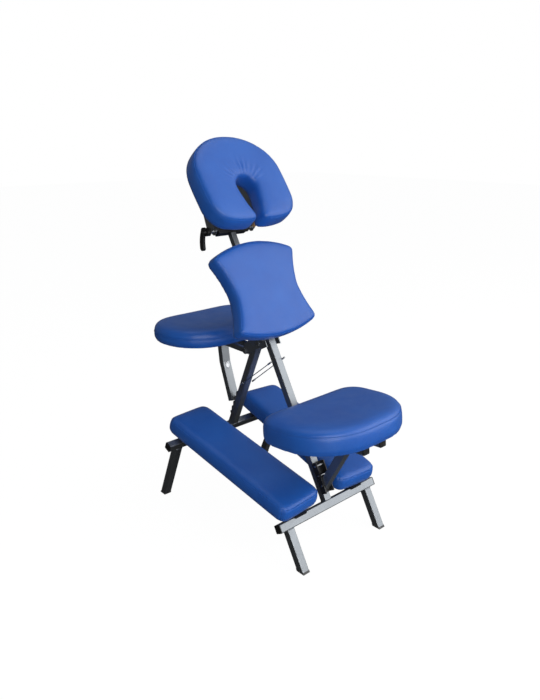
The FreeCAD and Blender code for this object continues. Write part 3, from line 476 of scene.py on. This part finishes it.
def inflate(cover):
    """Cloth simulation under air pressure, with the stapled edge held still."""
    height = points_of(cover.data)[:, 2]
    held = np.nonzero(height < height.min() + PIN_HEIGHT)[0]
    group = cover.vertex_groups.new(name="held")
    group.add([int(number) for number in held], 1.0, "REPLACE")
    cloth = cover.modifiers.new("cloth", "CLOTH")
    settings = cloth.settings
    settings.quality = 4
    settings.mass = 0.35
    settings.tension_stiffness = 30
    settings.compression_stiffness = 30
    settings.shear_stiffness = 12
    settings.bending_stiffness = 4.0
    settings.use_pressure = True
    settings.uniform_pressure_force = PRESSURE
    settings.vertex_group_mass = "held"
    settings.effector_weights.gravity = 0.0
    cloth.collision_settings.use_collision = False
    cloth.point_cache.frame_start = 1
    cloth.point_cache.frame_end = SIM_FRAMES
    for number in range(1, SIM_FRAMES + 1):
        bpy.context.scene.frame_set(number)
    applied(cover)
    bpy.context.scene.frame_set(1)


def shape_cover(name, pad, board, axes, passes):
    """A pad's cover: the blank with rolled edges, swollen by air pressure, smooth and taut."""
    cover = cover_blank(name, pad, board, axes)
    points = points_of(cover.data)
    height = points[:, 2] - points[:, 2].min()
    weight = np.clip(height / (EDGE_SHARE * height.max()), EDGE_WEIGHT, 1.0)
    points = smoothed(cover.data, points, weight, passes)
    move_to(cover.data, points)
    outward = normals_of(cover.data)
    crown = np.where(height > PIN_HEIGHT, CROWN, 0.0)
    inflate(cover)
    swell = ((points_of(cover.data) - points) * outward).sum(1)
    crown += evened(cover.data, np.clip(swell, 0.0, PUFF_LIMIT - CROWN), SWELL_PASSES)
    move_to(cover.data, smoothed(cover.data, points + outward * crown[:, None], weight, 2))
    finer = cover.modifiers.new("finer", "SUBSURF")
    finer.levels = finer.render_levels = 1
    return applied(cover)


def upholster(name, pad, board, body, passes, seam_depth):
    """One upholstered pad: its cover, seams and stitching, and the cloth under a wrapped board."""
    axes = pad_axes(pad, board)
    cover = shape_cover(name, pad, board, axes, passes)
    if name == OPEN_CUSHION:
        gather(cover)
    seams = [seam_path(cover, seam_depth, SEAM_GAP if name == OPEN_CUSHION else 0.0)]
    if name in DARTED:
        seams += dart_paths(cover, seam_depth)
    for path in seams:
        draw_in(cover, path)
    threads = merged(name + "_seams", [cord("seam", path, THREAD_RADIUS) for path in seams])
    finish_piece(cover, axes, body, "vinyl")
    finish_piece(threads, axes, body, "thread")
    if name == OPEN_CUSHION:
        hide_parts(pad)
    else:
        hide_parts(pad, board)
        finish_piece(dust_cover(name + "_underside", board, axes), axes, body, "cloth")


def finish_piece(piece, axes, body, material):
    """Turn a piece made in the given axes into place, and give it its body and material."""
    move_to(piece.data, points_of(piece.data) @ axes)
    piece.data.shade_smooth()
    paint(piece, MATERIALS[material])
    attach(piece, body)


def surface_of(piece):
    """The piece's surface, for casting rays at it."""
    return BVHTree.FromPolygons([vertex.co for vertex in piece.data.vertices],
                                [face.vertices for face in piece.data.polygons])


def seam_path(cover, depth, gap):
    """The seam between a pad's top panel and its side band, as far below the top as depth.
    It leaves out the angle gap on either side of the pad's lower end."""
    points = points_of(cover.data)
    low, high = points.min(0), points.max(0)
    middle = (low + high) / 2
    reach = np.linalg.norm(high - low)
    surface = surface_of(cover)
    path = []
    for angle in np.linspace(gap, 2 * math.pi - gap, SEAM_STEPS) - math.pi / 2:
        outward = np.array([math.cos(angle), math.sin(angle), 0.0])
        start = middle * [1, 1, 0] + [0, 0, high[2] - depth] + outward * reach
        path.append(np.array(surface.ray_cast(Vector(start), Vector(-outward))[0]))
    return np.array(path)


def dart_paths(cover, seam_depth):
    """The stitched darts at a pad's four corners, from its stapled edge up to the seam."""
    points = points_of(cover.data)
    low, high = points.min(0), points.max(0)
    middle = (low + high) / 2
    surface = surface_of(cover)
    reach = 0.2
    paths = []
    for side, end in ((-1, -1), (-1, 1), (1, -1), (1, 1)):
        corner = points[np.argmax(side * points[:, 0] + end * points[:, 1])]
        outward = (corner - middle) * [1, 1, 0]
        inset = outward / np.linalg.norm(outward) * 0.05
        lean = np.array([side, end, 0.0]) / math.sqrt(2)
        path = []
        for level in np.linspace(low[2] + DART_START, high[2] - seam_depth, DART_STEPS):
            start = corner * [1, 1, 0] + [0, 0, level] - inset * 0.2 + lean * reach
            hit = surface.ray_cast(Vector(start), Vector(-lean))[0]
            if hit:
                path.append(np.array(hit))
        paths.append(np.array(path))
    return paths


def draw_in(cover, path):
    """Draw the vinyl in along a seam, as its thread does."""
    points = points_of(cover.data)
    nearest = KDTree(len(path))
    for number, place in enumerate(path):
        nearest.insert(place, number)
    nearest.balance()
    gap = np.array([nearest.find(place)[2] for place in points])
    depth = SEAM_DEPTH * np.exp(-(gap / SEAM_WIDTH) ** 2)
    move_to(cover.data, points - normals_of(cover.data) * depth[:, None])


def gather(cover):
    """The fine pleats that fan out above the arch of the face opening, where the vinyl is drawn in."""
    points = points_of(cover.data)
    low, high = points.min(0), points.max(0)
    across = points[:, 0] - (low[0] + high[0]) / 2
    along = points[:, 1] - (high[1] - ARCH_BELOW_CROWN)
    around = np.arctan2(across, along)
    reach = np.hypot(across, along)
    facing = np.clip((normals_of(cover.data)[:, 2] - 0.25) / 0.5, 0, 1)
    fan = np.clip(np.cos(around * 0.9), 0, 1) ** 1.5
    fade = np.exp(-((reach - PLEAT_REACH) / PLEAT_SPREAD) ** 2) * fan
    pleats = np.sin(around * PLEATS_ROUND) * (0.6 + 0.4 * np.sin(around * 7 + 1))
    points[:, 2] -= PLEAT_DEPTH * facing * fade * pleats
    move_to(cover.data, points)


def join_rings(data, first, second):
    """A band of faces between two rings of as many vertices."""
    for step in range(len(first)):
        beside = (step + 1) % len(first)
        data.faces.new((first[step], first[beside], second[beside], second[step]))


def cord(name, path, radius, sides=6, closed=False):
    """A thin round cord through a list of points, closed at its ends or joined into a ring."""
    data = bmesh.new()
    rings = []
    count = len(path)
    for number, place in enumerate(path):
        before = path[number - 1] if closed or number else path[0]
        after = path[(number + 1) % count] if closed or number + 1 < count else path[-1]
        turn = (Vector(after) - Vector(before)).to_track_quat("Z", "Y").to_matrix()
        ring = []
        for step in range(sides):
            angle = 2 * math.pi * step / sides
            spoke = turn @ Vector((radius * math.cos(angle), radius * math.sin(angle), 0))
            ring.append(data.verts.new(Vector(place) + spoke))
        rings.append(ring)
    for first, second in zip(rings, rings[1:] + (rings[:1] if closed else [])):
        join_rings(data, first, second)
    if not closed:
        data.faces.new(list(reversed(rings[0])))
        data.faces.new(rings[-1])
    return piece_from(name, data)


def merged(name, pieces):
    """Several small solids as one piece."""
    data = bmesh.new()
    for piece in pieces:
        data.from_mesh(piece.data)
        bpy.data.objects.remove(piece)
    return piece_from(name, data)


def dust_cover(name, board, axes):
    """The black cloth under a pad, a little smaller than its board."""
    points = points_of(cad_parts[board].data) @ axes.T
    rim = points[points[:, 2] < points[:, 2].min() + 0.0005]
    middle = rim.mean(0)
    rim = rim[np.argsort(np.arctan2(*(rim - middle).T[:2]))]
    inner = middle + (rim - middle) * CLOTH_SHARE
    data = bmesh.new()
    data.faces.new([data.verts.new(place - [0, 0, CLOTH_BELOW]) for place in inner])
    bmesh.ops.remove_doubles(data, verts=data.verts, dist=0.00001)
    raised = bmesh.ops.extrude_face_region(data, geom=list(data.faces))["geom"]
    upper = [item for item in raised if isinstance(item, bmesh.types.BMVert)]
    bmesh.ops.translate(data, vec=(0, 0, CLOTH_THICK), verts=upper)
    bmesh.ops.recalc_face_normals(data, faces=data.faces)
    return piece_from(name, data)


# ---- frame details ----------------------------------------------------------------------------

def weld_ring(node, upward, at_top):
    """A closed path round the end of a square tube, just outside its walls."""
    points = points_of(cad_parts[node].data)
    height = points @ upward
    end = height.max() if at_top else height.min()
    rim = points[abs(height - end) < 0.001]
    ahead = np.cross(upward, [1.0, 0.0, 0.0])
    across = rim[:, 0]
    along = rim @ ahead
    middle = np.array([(across.min() + across.max()) / 2, 0.0, 0.0])
    middle += ahead * (along.min() + along.max()) / 2 + upward * end
    half = (across.max() - across.min()) / 2 + 0.0002
    cut = half - BEAD_CORNER
    corners = ((half, cut), (cut, half), (-cut, half), (-half, cut), (-half, -cut), (-cut, -half),
               (cut, -half), (half, -cut))
    return [middle + np.array([x, 0.0, 0.0]) + ahead * y for x, y in corners]


def welds():
    """Weld beads where the legs and the leaning tubes meet the two crossbars."""
    for body, tube, legs in (("rear_frame", "spine_tube", ("rear_leg_left", "rear_leg_right")),
                             ("front_frame", "front_tube", ("front_leg_left", "front_leg_right"))):
        upward = main_axis(points_of(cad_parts[tube].data))
        rings = [weld_ring(tube, upward, False)] + [weld_ring(leg, upward, True) for leg in legs]
        beads = merged(body + "_welds", [cord("bead", ring, BEAD_RADIUS, closed=True) for ring in rings])
        finish_piece(beads, np.eye(3), body, "frame")


def strut_dimple():
    """The oval dent pressed into the back of the armrest strut: a raised rim round a shallow dish."""
    low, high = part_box("armrest_strut")
    level = low[2] + DIMPLE_RISE * (high[2] - low[2])
    surface = surface_of(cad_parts["armrest_strut"])
    spot, facing = surface.ray_cast(Vector((0.0, low[1] - 0.1, level)), Vector((0, 1, 0)))[:2]
    across = Vector((1, 0, 0))
    upward = Vector(facing).cross(across)
    data = bmesh.new()
    rows = []
    for share, lift in DIMPLE_RINGS:
        rows.append([])
        for angle in np.linspace(0, 2 * math.pi, 25)[:-1]:
            aside = across * (DIMPLE_HALF[0] * share * math.cos(angle))
            above = upward * (DIMPLE_HALF[1] * share * math.sin(angle))
            rows[-1].append(data.verts.new(spot + aside + above + Vector(facing) * lift))
    for first, second in zip(rows, rows[1:]):
        join_rings(data, first, second)
    data.faces.new(rows[-1])
    data.faces.new(list(reversed(rows[0])))
    bmesh.ops.recalc_face_normals(data, faces=data.faces)
    dimple = piece_from("strut_dimple", data)
    finish_piece(dimple, np.eye(3), "armrest_strut", "bright")


def steel_cables():
    """Each cable as a straight rope between the two frames, with a ferrule fixed at each end."""
    for side in ("left", "right"):
        points = points_of(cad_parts["tension_cable_" + side].data)
        middle = points.mean(0)
        along = main_axis(points)
        reach = (points - middle) @ along
        front = middle + along * (reach.min() + 0.001)
        rear = middle + along * (reach.max() - 0.001)
        rope = cord("steel_cable_" + side, np.linspace(front, rear, 48), ROPE_RADIUS, 8)
        rope.data.shade_smooth()
        paint(rope, MATERIALS["rope"])
        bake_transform(rope)
        for place, end, toward in (("front", front, along), ("rear", rear, -along)):
            path = [end + toward * reached for reached in FERRULE_PATH]
            ferrule = cord("cable_ferrule_%s_%s" % (place, side), path, FERRULE_RADIUS, 12)
            finish_piece(ferrule, np.eye(3), place + "_frame", "bright")
        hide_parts("tension_cable_" + side)


# ---- stage -------------------------------------------------------------------------------------

def pale_floor():
    """A floor that the camera sees as white, and that is dark in reflections and bounced light."""
    bpy.ops.mesh.primitive_plane_add(size=30, location=(0, 0, -0.0005))
    floor = bpy.context.object
    floor.name = "studio_floor"
    shade = Shader("pale_floor")
    path = shade.add("ShaderNodeLightPath")
    bounced = shade.mix(path.outputs["Is Glossy Ray"], colour(0.32, 0.32, 0.33), colour(0.04, 0.04, 0.04))
    shade.set(Base_Color=shade.mix(path.outputs["Is Camera Ray"], bounced, colour(0.06, 0.06, 0.06)))
    shade.set(Roughness=0.9, Specular_IOR_Level=0.0, Emission_Color=colour(1, 1, 1))
    shade.set(Emission_Strength=shade.math("MULTIPLY", path.outputs["Is Camera Ray"], 0.97))
    paint(floor, shade.material)


def surround():
    """A white background for the camera; the light from it is brightest towards BRIGHT_SIDE."""
    world = bpy.data.worlds.new("studio")
    bpy.context.scene.world = world
    world.use_nodes = True
    nodes, links = world.node_tree.nodes, world.node_tree.links
    nodes.clear()
    output = nodes.new("ShaderNodeOutputWorld")
    mixer = nodes.new("ShaderNodeMixShader")
    path = nodes.new("ShaderNodeLightPath")
    white = nodes.new("ShaderNodeBackground")
    white.inputs["Color"].default_value = colour(1, 1, 1)
    walls = nodes.new("ShaderNodeBackground")
    place = nodes.new("ShaderNodeTexCoord")
    toward = nodes.new("ShaderNodeVectorMath")
    toward.operation = "DOT_PRODUCT"
    toward.inputs[1].default_value = Vector(BRIGHT_SIDE).normalized()
    ramp = nodes.new("ShaderNodeValToRGB")
    dark, bright = ramp.color_ramp.elements
    dark.position, dark.color = 0.35, colour(0.14, 0.145, 0.145)
    bright.position, bright.color = 0.95, colour(0.72, 0.74, 0.77)
    links.new(place.outputs["Generated"], toward.inputs[0])
    links.new(toward.outputs["Value"], ramp.inputs["Fac"])
    links.new(ramp.outputs["Color"], walls.inputs["Color"])
    links.new(path.outputs["Is Camera Ray"], mixer.inputs["Fac"])
    links.new(walls.outputs[0], mixer.inputs[1])
    links.new(white.outputs[0], mixer.inputs[2])
    links.new(mixer.outputs[0], output.inputs["Surface"])


def softbox(name, place, target, power, size):
    light = bpy.data.lights.new(name, "AREA")
    light.energy = power
    light.shape = "RECTANGLE"
    light.size, light.size_y = size
    lamp = bpy.data.objects.new(name, light)
    bpy.context.scene.collection.objects.link(lamp)
    lamp.location = place
    aim = Vector(target) - Vector(place)
    lamp.rotation_euler = aim.to_track_quat("-Z", "Y").to_euler()


def camera():
    data = bpy.data.cameras.new("camera")
    data.lens = LENS
    data.sensor_width = SENSOR
    view = bpy.data.objects.new("camera", data)
    bpy.context.scene.collection.objects.link(view)
    view.location = CAMERA_PLACE
    view.rotation_euler = (math.radians(90 - PHOTO_PITCH), 0.0, -math.radians(PHOTO_AZIMUTH))
    bpy.context.scene.camera = view


dress_frame()
for cover_name, choices in PADS.items():
    upholster(cover_name, *choices)
welds()
strut_dimple()
steel_cables()
pale_floor()
surround()
bpy.context.scene.view_settings.view_transform = "Standard"
for light_name, settings in SOFTBOXES.items():
    softbox(light_name, *settings)
camera()
